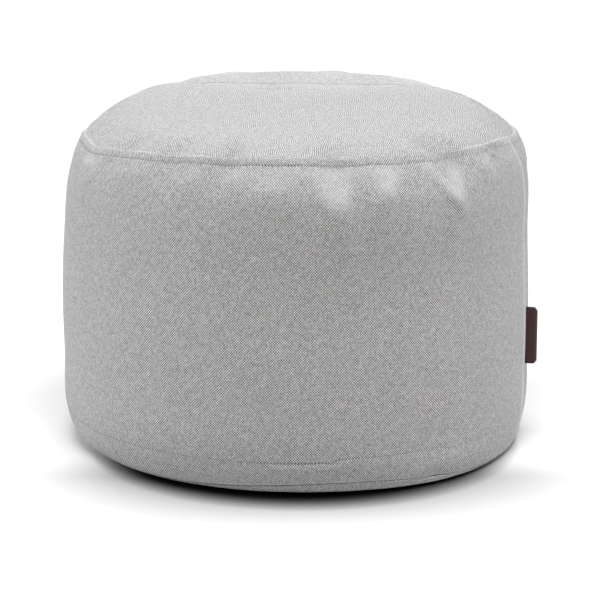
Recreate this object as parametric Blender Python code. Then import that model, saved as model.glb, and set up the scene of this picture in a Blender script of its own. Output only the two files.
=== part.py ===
"""Round bean bag footstool: a soft drum of woven cloth, filled to a low crown.

Metres, +Z up, origin on the floor under the middle. The front looks along -Y.
The cover is sewn from a round top panel, a side panel closed by one upright
seam, and a round base panel. A small folded label is sewn into that seam.
Each panel is modelled with the filling it holds, cut apart at the seams.
"""

import math

import bmesh
import bpy

SEWN_GAP = 0.0003
STEPS_ROUND = 120
SHARP_FROM_DEGREES = 35.0
JOINED_WITHIN = 0.000001

# The section of the filled cover, from the floor to the top seam. Radius and
# height are at the front. The other columns say how far a station moves at the
# sides and at the back, how far it leans over towards the right, and what share
# of the seam's waves and of the foot's swells it follows.
SECTION_COLUMNS = ("radius", "height", "side_lift", "back_lift", "side_out", "back_out",
                   "lean", "wave_share", "swell_share")
SECTION = {
    "foot":      (0.2170, 0.000, 0.0000, 0.0000, 0.0010, 0.0040, 0.0120, 0.0, 0.5),
    "under":     (0.2340, 0.004, 0.0000, 0.0000, 0.0015, 0.0000, 0.0030, 0.0, 1.0),
    "base_edge": (0.2405, 0.015, 0.0000, 0.0000, 0.0010, 0.0000, -0.0005, 0.0, 1.0),
    "hem":       (0.2460, 0.037, 0.0000, 0.0000, 0.0005, 0.0000, -0.0020, 0.0, 0.2),
    "low_belly": (0.2490, 0.090, 0.0000, 0.0000, -0.0015, 0.0000, -0.0020, 0.0, 0.0),
    "belly":     (0.2490, 0.150, 0.0000, 0.0000, -0.0010, 0.0000, -0.0025, 0.0, 0.0),
    "waist":     (0.2460, 0.225, 0.0000, 0.0000, -0.0010, 0.0010, -0.0020, 0.0, 0.0),
    "upper":     (0.2425, 0.286, -0.0020, 0.0100, -0.0012, 0.0040, 0.0005, 0.0, 0.0),
    "shoulder":  (0.2375, 0.316, 0.0006, 0.0128, -0.0045, 0.0080, 0.0023, 0.3, 0.0),
    "rim":       (0.2315, 0.333, -0.0092, 0.0166, -0.0019, 0.0050, 0.0024, 0.7, 0.0),
    "top_seam":  (0.2250, 0.341, -0.0125, -0.0053, 0.0007, -0.0180, 0.0019, 1.0, 0.0),
}
BACK_LIFT_BEGINS = 97.0
BACK_LIFT_FULL = 173.0

# The seam waves up and down: degrees round from the front towards the right,
# spread in degrees, and lift.
SEAM_WAVES = (
    (-66.0, 9.0, -0.0042),
    (43.0, 8.0, 0.0028),
    (62.0, 12.0, 0.0049),
    (96.0, 12.0, -0.0022),
    (128.0, 12.0, 0.0058),
    (152.0, 14.0, 0.0042),
    (169.0, 8.0, -0.0020),
    (211.5, 12.5, 0.0068),
    (232.0, 12.0, 0.0011),
    (262.0, 12.0, -0.0033),
)

# The foot of the cover swells unevenly too: degrees round, spread, and how far out.
BASE_SWELLS = (
    (38.0, 20.0, 0.0060),
    (82.0, 12.0, -0.0012),
)

STATIONS = tuple(SECTION)

# The top panel is crowned. Near its edge it lies at a level of its own, with a puffed
# cheek at the back of each side and a dip at the back, and then rounds down to the seam.
# Each row: degrees round from the front, spread in degrees, and lift.
CROWN_HEIGHT = 0.3551
EDGE_LEVEL = 0.3434
EDGE_LIFTS = (
    (-128.5, 21.5, 0.0142),
    (126.0, 21.5, 0.0086),
    (180.0, 29.0, -0.0133),
)
ROUNDED_SHARE = 0.167
ROUNDED_POWER = 1.5

# Where the top panel ends and the side panel's filling begins: a thin edge at the seam,
# thicker a little way in, and level at the centre.
TOP_EDGE_THICKNESS = 0.0025
TOP_INNER_SHARE = 0.88
TOP_INNER_THICKNESS = 0.0120
TOP_UNDERSIDE_CENTRE = 0.322

# The base panel turns up into sight only at the front.
BASE_SEAM_LOW = 0.0035
BASE_SEAM_HIGH = 0.0140
BASE_SEAM_HIGH_ANGLE = 11.0
BASE_SEAM_HIGH_SPREAD = 34.0
BASE_CORE_HEIGHT = 0.009

# Where the seam gathers the cloth: degrees round from the front towards the
# right, spread in degrees, how far the side and the top panel are drawn in,
# how far down the side the dent reaches, and how far it slants, in degrees.
PUCKER_COLUMNS = ("angle", "spread", "side_in", "top_in", "reach", "slant")
PUCKERS = (
    (-51.0, 3.6, 0.0026, 0.0010, 0.038, -4.0),
    (-34.0, 4.2, 0.0032, 0.0016, 0.039, 3.0),
    (-17.0, 4.0, 0.0038, 0.0024, 0.044, 1.5),
    (10.0, 4.8, 0.0046, 0.0022, 0.052, -1.0),
    (26.0, 3.4, 0.0022, 0.0004, 0.036, -1.5),
    (41.5, 4.4, 0.0052, 0.0034, 0.050, 1.5),
    (58.0, 3.8, 0.0022, 0.0006, 0.038, -1.0),
    (77.0, 3.6, 0.0014, 0.0010, 0.040, 0.0),
    (103.0, 4.2, 0.0028, 0.0016, 0.045, 2.0),
    (131.0, 3.8, 0.0022, 0.0014, 0.038, -2.0),
    (158.0, 4.4, 0.0026, 0.0018, 0.044, 1.0),
    (187.0, 3.8, 0.0022, 0.0012, 0.036, -1.0),
    (214.0, 4.4, 0.0030, 0.0020, 0.048, 2.0),
    (243.0, 4.0, 0.0024, 0.0014, 0.040, -2.0),
    (270.0, 3.6, 0.0026, 0.0012, 0.036, 1.0),
)
TOP_DENT_REACH = 0.028
PUCKER_FADE_POWER = 1.5

# Soft ridges in the side panel: how far each stands out, where it starts, measured
# down from the top seam, where it stands out most, how far it takes to sink back,
# and how far it slants down to there.
RIDGE_COLUMNS = ("angle", "spread", "out", "start", "tip", "tail", "slant")
RIDGES = (
    (-62.0, 4.0, 0.0020, 0.006, 0.030, 0.040, -2.0),
    (-43.0, 6.0, 0.0012, 0.006, 0.023, 0.050, -2.8),
    (-26.4, 5.0, 0.0024, 0.006, 0.026, 0.040, 0.0),
    (-6.2, 6.6, 0.0040, 0.006, 0.036, 0.046, 0.4),
    (7.4, 5.4, 0.0042, 0.006, 0.052, 0.080, 1.5),
    (22.3, 3.6, 0.0036, 0.006, 0.038, 0.070, -2.0),
    (40.0, 4.0, 0.0036, 0.010, 0.049, 0.041, 0.0),
    (51.0, 3.2, 0.0018, 0.006, 0.026, 0.032, 1.3),
    (66.0, 3.2, 0.0014, 0.006, 0.026, 0.050, 0.0),
    (92.0, 4.4, 0.0020, 0.008, 0.034, 0.050, 2.0),
    (144.0, 4.6, 0.0022, 0.008, 0.036, 0.050, 2.0),
    (200.0, 4.6, 0.0024, 0.008, 0.038, 0.054, -2.0),
    (229.0, 4.4, 0.0020, 0.008, 0.032, 0.048, 2.0),
)
RIDGE_RISE_POWER = 1.3
# The filling slackens at the front right: there the side stands straight up to a
# shoulder and slopes in from it to the seam.
SLACK = (16.0, 33.0, 0.0072, 0.006, 0.043, 0.130, 0.0)

# The sewn channels: a line of stitching draws the cloth in a little.
TOP_STITCH_BELOW_SEAM = 0.009
HEM_STITCH_HEIGHT = 0.037
CHANNEL_DEPTH = 0.0010
CHANNEL_SPREAD = 0.004
SIDE_SEAM_ANGLE_TOP = 71.0
SIDE_SEAM_ANGLE_LOW = 77.0
SIDE_SEAM_STRAIGHT_BELOW = 0.060
SIDE_SEAM_DEPTH = 0.0010
SIDE_SEAM_SPREAD = 2.4
SIDE_SEAM_FADES_WITHIN = 0.015

LABEL_LENGTH = 0.061
LABEL_REACH = 0.0120
LABEL_THICKNESS = 0.0018
LABEL_CORNER = 0.0040
LABEL_MIDDLE_HEIGHT = 0.1175
LABEL_CORNER_STEPS = 5
LABEL_SEWN_PLACES = (3.6, 4.0, 4.4, 4.8, 5.2)
LABEL_SEWN_TURNS = (-0.5, 0.0, 0.5)

CLOTH_GREY = (0.49, 0.49, 0.49, 1.0)
LABEL_BURGUNDY = (0.045, 0.008, 0.010, 1.0)


def cleared_scene():
    """Leaves the scene with no object in it."""
    for left_over in list(bpy.data.objects):
        bpy.data.objects.remove(left_over, do_unlink=True)


def material(name, colour, roughness):
    made = bpy.data.materials.new(name)
    made.use_nodes = True
    shader = made.node_tree.nodes["Principled BSDF"]
    shader.inputs["Base Color"].default_value = colour
    shader.inputs["Roughness"].default_value = roughness
    shader.inputs["Metallic"].default_value = 0.0
    return made


def turned(degrees):
    """An angle brought to between -180 and 180 degrees."""
    return (degrees + 180.0) % 360.0 - 180.0


def bell(offset, spread):
    """1 in the middle, fading to both sides."""
    return math.exp(-((offset / spread) ** 2))


def eased(share):
    """0 below 0, 1 above 1, and a smooth rise between."""
    held = min(max(share, 0.0), 1.0)
    return held * held * (3.0 - 2.0 * held)


def station_at(name, degrees):
    """(radius, height) of one station of the section, at an angle round the cover."""
    row = dict(zip(SECTION_COLUMNS, SECTION[name]))
    angle = math.radians(degrees)
    side = math.sin(angle) ** 2
    back = eased((abs(turned(degrees)) - BACK_LIFT_BEGINS) / (BACK_LIFT_FULL - BACK_LIFT_BEGINS))
    swell = sum(out * bell(turned(degrees - at), spread) for at, spread, out in BASE_SWELLS)
    radius = (row["radius"] + row["side_out"] * side + row["back_out"] * back
              + row["lean"] * math.sin(angle) + row["swell_share"] * swell)
    wave = sum(lift * bell(turned(degrees - at), spread) for at, spread, lift in SEAM_WAVES)
    height = (row["height"] + row["side_lift"] * side + row["back_lift"] * back
              + row["wave_share"] * wave)
    return radius, height


def between(start, end, share):
    return start + (end - start) * share


def smooth_point(points, place):
    """The point at a place on a smooth curve through the points; place 1.5 is midway from 1 to 2."""
    index = min(int(place), len(points) - 2)
    share = place - index
    chords = [math.dist(points[i], points[i + 1]) for i in range(len(points) - 1)]

    def tangent(i, axis):
        ahead = behind = None
        if i < len(points) - 1:
            ahead = (points[i + 1][axis] - points[i][axis]) / chords[i]
        if i > 0:
            behind = (points[i][axis] - points[i - 1][axis]) / chords[i - 1]
        if ahead is None or behind is None:
            return ahead if behind is None else behind
        return (ahead * chords[i - 1] + behind * chords[i]) / (chords[i - 1] + chords[i])

    found = []
    for axis in range(2):
        first, second = points[index][axis], points[index + 1][axis]
        rise_first = tangent(index, axis) * chords[index]
        rise_second = tangent(index + 1, axis) * chords[index]
        found.append(
            first * (2 * share**3 - 3 * share**2 + 1)
            + rise_first * (share**3 - 2 * share**2 + share)
            + second * (3 * share**2 - 2 * share**3)
            + rise_second * (share**3 - share**2)
        )
    return found


def below_seam(place):
    """How far down the cloth a place on the section lies from the top seam."""
    points = [station_at(name, 0.0) for name in STATIONS]
    index = min(int(place), len(points) - 2)
    whole = sum(math.dist(points[i], points[i + 1]) for i in range(index + 1, len(points) - 1))
    part = math.dist(points[index], points[index + 1])
    return whole + part * (1.0 - (place - index))


def pucker_pull(degrees, below, column):
    """How far the gathers draw the cloth in, at a distance below the seam."""
    pulled = 0.0
    for values in PUCKERS:
        row = dict(zip(PUCKER_COLUMNS, values))
        left = max(1.0 - below / row["reach"], 0.0)
        offset = turned(degrees - row["angle"] - row["slant"] * (1.0 - left))
        pulled += row[column] * bell(offset, row["spread"]) * left**PUCKER_FADE_POWER
    return pulled


def ridge_rise(degrees, below):
    """How far the ridges and the slack stand out, at a distance below the seam."""
    risen = 0.0
    for values in (*RIDGES, SLACK):
        row = dict(zip(RIDGE_COLUMNS, values))
        along = max((below - row["start"]) / (row["tip"] - row["start"]), 0.0)
        offset = turned(degrees - row["angle"] - row["slant"] * min(along, 1.0))
        if along < 1.0:
            height = along**RIDGE_RISE_POWER
        else:
            height = eased(1.0 - (below - row["tip"]) / row["tail"])
        risen += row["out"] * bell(offset, row["spread"]) * height
    return risen


def channel_depth(degrees, below, height):
    """How far the lines of stitching draw the side panel in."""
    top = bell(below - TOP_STITCH_BELOW_SEAM, CHANNEL_SPREAD)
    hem = bell(height - HEM_STITCH_HEIGHT, CHANNEL_SPREAD)
    share = min(below / SIDE_SEAM_STRAIGHT_BELOW, 1.0)
    seam_angle = between(SIDE_SEAM_ANGLE_TOP, SIDE_SEAM_ANGLE_LOW, share)
    upright = bell(turned(degrees - seam_angle), SIDE_SEAM_SPREAD)
    upright *= min(below / SIDE_SEAM_FADES_WITHIN, 1.0)
    return CHANNEL_DEPTH * (top + hem) + SIDE_SEAM_DEPTH * upright


def side_surface(degrees, place):
    """(radius, height) of the cover's outside at an angle and a place on its section."""
    radius, height = smooth_point([station_at(name, degrees) for name in STATIONS], place)
    below = below_seam(place)
    drawn_in = pucker_pull(degrees, below, "side_in")
    raised = ridge_rise(degrees, below)
    return radius - drawn_in + raised - channel_depth(degrees, below, height), height


def base_seam_height(degrees):
    offset = turned(degrees - BASE_SEAM_HIGH_ANGLE)
    return between(BASE_SEAM_LOW, BASE_SEAM_HIGH, bell(offset, BASE_SEAM_HIGH_SPREAD))


def place_at_height(degrees, height):
    """The place on the lower section where the cover reaches a height, found by halving."""
    points = [station_at(name, degrees) for name in STATIONS]
    low, high = 0.0, float(STATIONS.index("hem"))
    for _ in range(30):
        middle = (low + high) / 2
        if smooth_point(points, middle)[1] < height:
            low = middle
        else:
            high = middle
    return low


def lathed(name, surfaces, finish):
    """A closed body whose rings each follow a function of the angle round, from one pole to the other.

    A profile line is spun round Z, and each of its points then moves to where its
    own surface function puts it. A ring given as a height alone is a pole.
    """
    shape = bmesh.new()
    ring_layer = shape.verts.layers.int.new("ring")
    line = []
    last = len(surfaces) - 1
    for ring in range(last + 1):
        across = 0.0 if ring in (0, last) else 1.0
        point = shape.verts.new((0.0, -across, ring / last))
        point[ring_layer] = ring
        line.append(point)
    edges = [shape.edges.new(pair) for pair in zip(line, line[1:])]
    bmesh.ops.spin(
        shape, geom=line + edges, cent=(0, 0, 0), axis=(0, 0, 1),
        angle=math.tau, steps=STEPS_ROUND, use_merge=True, use_duplicate=False,
    )
    bmesh.ops.remove_doubles(shape, verts=shape.verts, dist=JOINED_WITHIN)
    for vertex in shape.verts:
        ring = vertex[ring_layer]
        if ring in (0, last):
            vertex.co = (0.0, 0.0, surfaces[ring])
            continue
        angle = math.atan2(vertex.co.x, -vertex.co.y)
        radius, height = surfaces[ring](math.degrees(angle))
        vertex.co = (radius * math.sin(angle), -radius * math.cos(angle), height)
    bmesh.ops.recalc_face_normals(shape, faces=shape.faces)
    mesh = bpy.data.meshes.new(name)
    shape.to_mesh(mesh)
    shape.free()
    mesh.shade_smooth()
    mesh.set_sharp_from_angle(angle=math.radians(SHARP_FROM_DEGREES))
    mesh.materials.append(finish)
    made = bpy.data.objects.new(name, mesh)
    bpy.context.scene.collection.objects.link(made)
    return made


def top_level(degrees, share):
    """Height of the top panel over a share of its radius, before its edge rounds down."""
    lift = sum(rise * bell(turned(degrees - at), spread) for at, spread, rise in EDGE_LIFTS)
    return between(CROWN_HEIGHT, EDGE_LEVEL + lift, share**2)


def rounding(share):
    """How far the edge has rounded down to the seam: 0 inside the rounded band, 1 at the seam."""
    into = max(share - 1.0 + ROUNDED_SHARE, 0.0) / ROUNDED_SHARE
    return 1.0 - max(1.0 - into**ROUNDED_POWER, 0.0) ** (1.0 / ROUNDED_POWER)


def seam_point(degrees):
    """(radius, height) of the top seam, gathered by the puckers."""
    radius, height = station_at("top_seam", degrees)
    return radius - pucker_pull(degrees, 0.0, "side_in"), height


def parting(share, thickness):
    """The surface under the top panel, at a share of the radius and a depth below the seam."""
    def surface(degrees):
        radius, height = seam_point(degrees)
        return radius * share, height - pucker_pull(degrees, 0.0, "top_in") - thickness
    return surface


def top_panel(finish):
    """The round top, crowned, with its edge turned down to the seam."""

    def upper(share):
        def surface(degrees):
            radius, height = seam_point(degrees)
            crown = between(top_level(degrees, share), height, rounding(share))
            dent = pucker_pull(degrees, 0.0, "top_in")
            faded = max(1.0 - (1.0 - share) * radius / TOP_DENT_REACH, 0.0)
            return radius * share, crown - dent * faded
        return surface

    shares = (0.25, 0.50, 0.70, 0.82, 0.87, 0.91, 0.943, 0.97, 0.988, 1.0)
    rings = [TOP_UNDERSIDE_CENTRE]
    rings += [parting(TOP_INNER_SHARE, TOP_INNER_THICKNESS), parting(1.0, TOP_EDGE_THICKNESS)]
    rings += [upper(share) for share in reversed(shares)]
    rings += [CROWN_HEIGHT]
    return lathed("top_panel", rings, finish)


def side_panel(finish):
    """The upright band with its filling, between the two seams."""
    seam_place = len(STATIONS) - 1.0

    def skin(place):
        def surface(degrees):
            lowest = place_at_height(degrees, base_seam_height(degrees) + SEWN_GAP)
            share = place / seam_place
            return side_surface(degrees, between(lowest, seam_place, share))
        return surface

    places = (0.0, 0.6, 1.2, 1.7, 2.1, 2.6, 3.3, 4.1, 5.0, 5.9, 6.6,
              7.1, 7.6, 8.0, 8.4, 8.8, 9.2, 9.6)
    rings = [BASE_CORE_HEIGHT + SEWN_GAP]
    rings += [skin(place) for place in places]
    rings += [parting(1.0, TOP_EDGE_THICKNESS + SEWN_GAP)]
    rings += [parting(TOP_INNER_SHARE, TOP_INNER_THICKNESS + SEWN_GAP), TOP_UNDERSIDE_CENTRE - SEWN_GAP]
    return lathed("side_panel", rings, finish)


def base_panel(finish):
    """The round base, flat where it rests, turned up to its seam."""

    def skin(share):
        def surface(degrees):
            highest = place_at_height(degrees, base_seam_height(degrees))
            return side_surface(degrees, share * highest)
        return surface

    rings = [0.0] + [skin(share) for share in (0.0, 0.35, 0.7, 1.0)] + [BASE_CORE_HEIGHT]
    return lathed("base_panel", rings, finish)


def label(finish):
    """A folded tab in the upright seam, bare, with its free corners rounded."""
    shape = bmesh.new()
    bmesh.ops.create_cube(shape, size=1.0)
    bmesh.ops.scale(shape, vec=(LABEL_REACH, LABEL_THICKNESS, LABEL_LENGTH), verts=shape.verts)
    bmesh.ops.translate(shape, vec=(LABEL_REACH / 2, 0, 0), verts=shape.verts)
    free_corners = [
        edge for edge in shape.edges
        if all(vertex.co.x > LABEL_REACH / 2 for vertex in edge.verts)
        and abs(edge.verts[0].co.z - edge.verts[1].co.z) < JOINED_WITHIN
    ]
    bmesh.ops.bevel(
        shape, geom=free_corners, offset=LABEL_CORNER, segments=LABEL_CORNER_STEPS,
        profile=0.5, affect="EDGES",
    )
    wall = max(
        side_surface(SIDE_SEAM_ANGLE_LOW + turn, place)[0]
        for turn in LABEL_SEWN_TURNS
        for place in LABEL_SEWN_PLACES
    )
    angle = math.radians(SIDE_SEAM_ANGLE_LOW)
    inner_edge = wall + SEWN_GAP
    for vertex in shape.verts:
        out, across, up = vertex.co
        out += inner_edge
        vertex.co = (
            out * math.sin(angle) + across * math.cos(angle),
            -out * math.cos(angle) + across * math.sin(angle),
            up + LABEL_MIDDLE_HEIGHT,
        )
    bmesh.ops.recalc_face_normals(shape, faces=shape.faces)
    mesh = bpy.data.meshes.new("label")
    shape.to_mesh(mesh)
    shape.free()
    mesh.materials.append(finish)
    made = bpy.data.objects.new("label", mesh)
    bpy.context.scene.collection.objects.link(made)
    return made


cleared_scene()
cloth = material("woven_cloth", CLOTH_GREY, 0.9)
top_panel(cloth)
side_panel(cloth)
base_panel(cloth)
label(material("label_ribbon", LABEL_BURGUNDY, 0.6))
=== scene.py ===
import bisect
import functools
import math

import bmesh
import bpy
from mathutils import Matrix, Vector, noise


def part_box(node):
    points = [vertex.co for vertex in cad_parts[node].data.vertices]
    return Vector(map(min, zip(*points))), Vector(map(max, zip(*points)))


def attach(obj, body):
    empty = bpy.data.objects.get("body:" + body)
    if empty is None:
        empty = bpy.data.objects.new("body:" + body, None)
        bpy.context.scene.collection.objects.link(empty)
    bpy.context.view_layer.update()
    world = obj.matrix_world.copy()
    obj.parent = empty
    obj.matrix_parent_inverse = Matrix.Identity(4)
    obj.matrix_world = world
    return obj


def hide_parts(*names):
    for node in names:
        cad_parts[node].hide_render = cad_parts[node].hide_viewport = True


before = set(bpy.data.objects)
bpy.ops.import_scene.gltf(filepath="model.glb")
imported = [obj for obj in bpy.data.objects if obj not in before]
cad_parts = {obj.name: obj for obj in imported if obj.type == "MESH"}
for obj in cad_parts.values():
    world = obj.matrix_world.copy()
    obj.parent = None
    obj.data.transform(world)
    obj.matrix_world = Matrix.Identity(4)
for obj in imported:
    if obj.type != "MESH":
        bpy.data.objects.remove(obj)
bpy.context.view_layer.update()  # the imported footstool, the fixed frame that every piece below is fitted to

# A round bean bag footstool: three panels of woven cloth filled to a soft drum,
# topstitched beside the top seam and above the base, with a small bare label in the
# upright seam. Metres and degrees. Angle 0 is the front, and grows towards the right.

print("camera")
camera = {
    "place": (0.00226, -2.700, 0.8314),
    "pitchDown": 14.34,
    "focalPixels": 2604.5,  # for a picture 600 pixels wide
    "pictureWidth": 600,
    "sensor": 36.0,
}


def linked(name, data):
    made = bpy.data.objects.new(name, data)
    bpy.context.scene.collection.objects.link(made)
    return made


def makeCamera():
    data = bpy.data.cameras.new("photoCamera")
    data.sensor_width = camera["sensor"]
    data.lens = camera["sensor"] * camera["focalPixels"] / camera["pictureWidth"]
    data.clip_end = 50.0
    made = linked("photoCamera", data)
    made.location = camera["place"]
    made.rotation_euler = (math.radians(90.0 - camera["pitchDown"]), 0.0, 0.0)
    bpy.context.scene.camera = made


makeCamera()


# each row of a table by its columns' names
def named(columns, rows):
    return [dict(zip(columns.split(), values)) for values in rows]


# Stations of the section from the floor to the top seam. Radius and height are at the
# front; the other columns move a station at the sides and the back, lean it to the
# right, and give its share of the seam's waves and of the foot's swells.
stations = named("radius height sideLift backLift sideOut backOut lean waveShare swellShare", (
    (0.2170, 0.000, 0.0, 0.0, 0.0010, 0.0040, 0.0120, 0.0, 0.5),  # foot
    (0.2340, 0.004, 0.0, 0.0, 0.0015, 0.0, 0.0030, 0.0, 1.0),  # under
    (0.2405, 0.015, 0.0, 0.0, 0.0010, 0.0, -0.0005, 0.0, 1.0),  # base edge
    (0.2460, 0.037, 0.0, 0.0, 0.0005, 0.0, -0.0020, 0.0, 0.2),  # hem
    (0.2490, 0.090, 0.0, 0.0, -0.0015, 0.0, -0.0020, 0.0, 0.0),  # low belly
    (0.2490, 0.150, 0.0, 0.0, -0.0010, 0.0, -0.0025, 0.0, 0.0),  # belly
    (0.2460, 0.225, 0.0, 0.0, -0.0010, 0.0010, -0.0020, 0.0, 0.0),  # waist
    (0.2425, 0.286, -0.0020, 0.0100, -0.0012, 0.0040, 0.0005, 0.0, 0.0),  # upper
    (0.2375, 0.316, 0.0006, 0.0128, -0.0045, 0.0080, 0.0023, 0.3, 0.0),  # shoulder
    (0.2315, 0.333, -0.0092, 0.0166, -0.0019, 0.0050, 0.0024, 0.7, 0.0),  # rim
    (0.2250, 0.341, -0.0125, -0.0053, 0.0007, -0.0180, 0.0019, 1.0, 0.0),  # top seam
))
backLift = (97.0, 76.0)  # the angle where it begins, and over how many degrees it comes
seamWaves = (  # angle, spread, lift
    (-66.0, 9.0, -0.0042),
    (43.0, 8.0, 0.0028),
    (62.0, 12.0, 0.0049),
    (96.0, 12.0, -0.0022),
    (128.0, 12.0, 0.0058),
    (152.0, 14.0, 0.0042),
    (169.0, 8.0, -0.0020),
    (211.5, 12.5, 0.0068),
    (232.0, 12.0, 0.0011),
    (262.0, 12.0, -0.0033),
)
baseSwells = (  # angle, spread, how far out
    (38.0, 20.0, 0.0060),
    (82.0, 12.0, -0.0012),
)

coverMesh = {
    "stepsRound": 480,
    "curveSamples": 14,  # samples between two stations when the section is measured
    "seamCrowding": 0.72,  # how strongly the steps crowd round the upright seam
    "seamCrowdingSpread": 9.0,
}

# Where the top seam gathers the cloth: angle, width in degrees, how far the side and the
# top are drawn in, how far down the side and in over the top the dent runs, its slant in
# degrees over that run on the side and on the top, and how sharply it ends.
puckers = named("angle width sideIn topIn sideReach topReach sideSlant topSlant power", (
    (-76.0, 3.0, 0.0015, 0.0010, 0.034, 0.024, -1.0, 0.0, 1.3),
    (-51.0, 4.2, 0.0030, 0.0030, 0.041, 0.046, -5.5, 4.0, 1.2),
    (-34.0, 5.0, 0.0035, 0.0038, 0.039, 0.060, 3.5, 3.0, 1.2),
    (-17.5, 4.4, 0.0045, 0.0036, 0.048, 0.052, 1.6, -3.0, 1.2),
    (-16.5, 1.5, 0.0010, 0.0034, 0.022, 0.080, 1.0, -6.5, 0.9),
    (-5.0, 3.4, 0.0018, 0.0008, 0.038, 0.020, -1.9, 0.0, 1.2),
    (10.0, 5.6, 0.0060, 0.0036, 0.053, 0.060, -1.1, 3.0, 1.0),
    (7.5, 1.6, 0.0008, 0.0024, 0.020, 0.046, 0.0, 2.0, 1.0),
    (26.0, 3.8, 0.0028, 0.0008, 0.038, 0.018, -1.5, 0.0, 1.1),
    (39.0, 1.8, 0.0010, 0.0032, 0.020, 0.060, 1.0, -4.0, 0.9),
    (41.5, 4.8, 0.0065, 0.0060, 0.050, 0.062, 1.5, -2.0, 1.0),
    (44.5, 1.4, 0.0010, 0.0024, 0.020, 0.040, 1.0, 3.0, 1.0),
    (58.0, 3.4, 0.0025, 0.0010, 0.037, 0.018, -1.0, 0.0, 1.2),
    (77.0, 3.6, 0.0012, 0.0012, 0.040, 0.020, 0.0, 0.0, 1.2),
    (103.0, 4.4, 0.0030, 0.0020, 0.048, 0.036, 2.0, 2.0, 1.1),
    (131.0, 4.0, 0.0024, 0.0016, 0.040, 0.030, -2.0, 0.0, 1.2),
    (158.0, 4.6, 0.0028, 0.0020, 0.046, 0.034, 1.0, -2.0, 1.1),
    (187.0, 4.0, 0.0022, 0.0014, 0.038, 0.026, -1.0, 0.0, 1.2),
    (214.0, 4.6, 0.0032, 0.0022, 0.050, 0.040, 2.0, 2.0, 1.0),
    (243.0, 4.2, 0.0026, 0.0016, 0.042, 0.030, -2.0, 0.0, 1.2),
    (263.0, 3.6, 0.0020, 0.0012, 0.036, 0.024, 1.0, 0.0, 1.2),
))
pucker = {"tipWidth": 0.45, "ends": 3.0}  # the width left at a dent's end, and how many it reaches

# Soft tongues of the side panel: angle, width in degrees, how far out, where they start
# below the top seam, where they stand out most, how far they take to sink back, their slant
# in degrees down to the tip, and how wide they still are there.
folds = named("angle width out start tip tail slant narrowed", (
    (-65.0, 3.2, 0.0028, 0.006, 0.022, 0.040, -0.7, 1.0),
    (-60.4, 2.6, 0.0016, 0.006, 0.036, 0.034, -3.2, 1.0),
    (-43.0, 6.2, 0.0015, 0.006, 0.023, 0.050, -2.8, 1.0),
    (-26.4, 5.1, 0.0018, 0.006, 0.024, 0.040, 0.0, 0.9),
    (-13.7, 3.4, 0.0019, 0.006, 0.027, 0.056, -1.8, 0.74),
    (-6.2, 6.9, 0.0031, 0.006, 0.035, 0.044, 0.4, 0.76),
    (7.4, 6.6, 0.0046, 0.006, 0.050, 0.074, 1.5, 0.45),
    (22.3, 4.2, 0.0042, 0.006, 0.038, 0.070, -2.0, 0.6),
    (31.5, 1.8, 0.0028, 0.005, 0.047, 0.034, 7.0, 1.0),
    (40.8, 3.6, 0.0036, 0.012, 0.049, 0.074, -1.0, 0.7),
    (51.0, 2.5, 0.0023, 0.006, 0.024, 0.032, 1.3, 1.0),
    (54.6, 1.1, 0.0022, 0.002, 0.012, 0.016, 2.5, 1.0),
    (65.6, 2.9, 0.0017, 0.006, 0.025, 0.050, 0.0, 1.0),
    (92.0, 4.4, 0.0024, 0.008, 0.034, 0.050, 2.0, 0.8),
    (118.0, 5.0, 0.0020, 0.008, 0.030, 0.048, -2.0, 0.8),
    (144.0, 4.6, 0.0024, 0.008, 0.036, 0.050, 2.0, 0.7),
    (172.0, 4.6, 0.0022, 0.008, 0.032, 0.050, -2.0, 0.8),
    (200.0, 4.6, 0.0026, 0.008, 0.038, 0.054, -2.0, 0.7),
    (229.0, 4.2, 0.0022, 0.008, 0.032, 0.048, 2.0, 0.8),
    (254.0, 3.8, 0.0022, 0.008, 0.034, 0.050, -2.0, 0.8),
    # by the hem
    (40.5, 1.5, 0.0028, 0.286, 0.312, 0.026, -2.4, 1.0),
    (34.0, 2.4, -0.0020, 0.318, 0.328, 0.014, 1.0, 1.0),
    (-55.0, 1.7, 0.0022, 0.280, 0.312, 0.030, 4.0, 1.0),
))
# The powers of a tongue's rise and of its steep sides, how many times the way to its tip it
# goes on slanting, and how many widths it reaches.
tongue = {"risePower": 1.3, "sidePower": 3, "slantTo": 1.6, "ends": 3.0}
# The filling slackens at the front right: there the side stands up straight to a shoulder
# and slopes in from it to the seam. Below its tip the slack dies away.
slack = {"angle": 16.0, "spread": 33.0, "out": 0.0072, "start": 0.006, "tip": 0.043, "tail": 0.130}


def turned(degrees):
    return (degrees + 180.0) % 360.0 - 180.0


def bell(offset, spread):
    return math.exp(-((offset / spread) ** 2))


def eased(share):
    held = min(max(share, 0.0), 1.0)
    return held * held * (3.0 - 2.0 * held)


def between(start, end, share):
    return start + (end - start) * share


# How far an angle has gone into a change, from 0 to 1: the change begins at an angle and takes
# some degrees, negative ones towards the left. Towards the back it is alike on both sides.
def past(degrees, begins, over):
    return eased((turned(degrees) - begins) / over)


def pastBack(degrees, begins, over):
    return eased((abs(turned(degrees)) - begins) / over)


# a soft hump round the cover at an angle, and the sum of rows of angle, spread and height
def hump(degrees, at, spread):
    return bell(turned(degrees - at), spread)


def humps(degrees, rows):
    return sum(rise * hump(degrees, at, spread) for at, spread, rise in rows)


def stationAt(row, degrees):
    angle = math.radians(degrees)
    side = math.sin(angle) ** 2
    back = pastBack(degrees, *backLift)
    radius = (row["radius"] + row["sideOut"] * side + row["backOut"] * back
              + row["lean"] * math.sin(angle) + row["swellShare"] * humps(degrees, baseSwells))
    height = (row["height"] + row["sideLift"] * side + row["backLift"] * back
              + row["waveShare"] * humps(degrees, seamWaves))
    return Vector((radius, height))


# how far along a line each of its points lies
def lengthsAlong(points):
    made = [0.0]
    for a, b in zip(points, points[1:]):
        made.append(made[-1] + (b - a).length)
    return made


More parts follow.
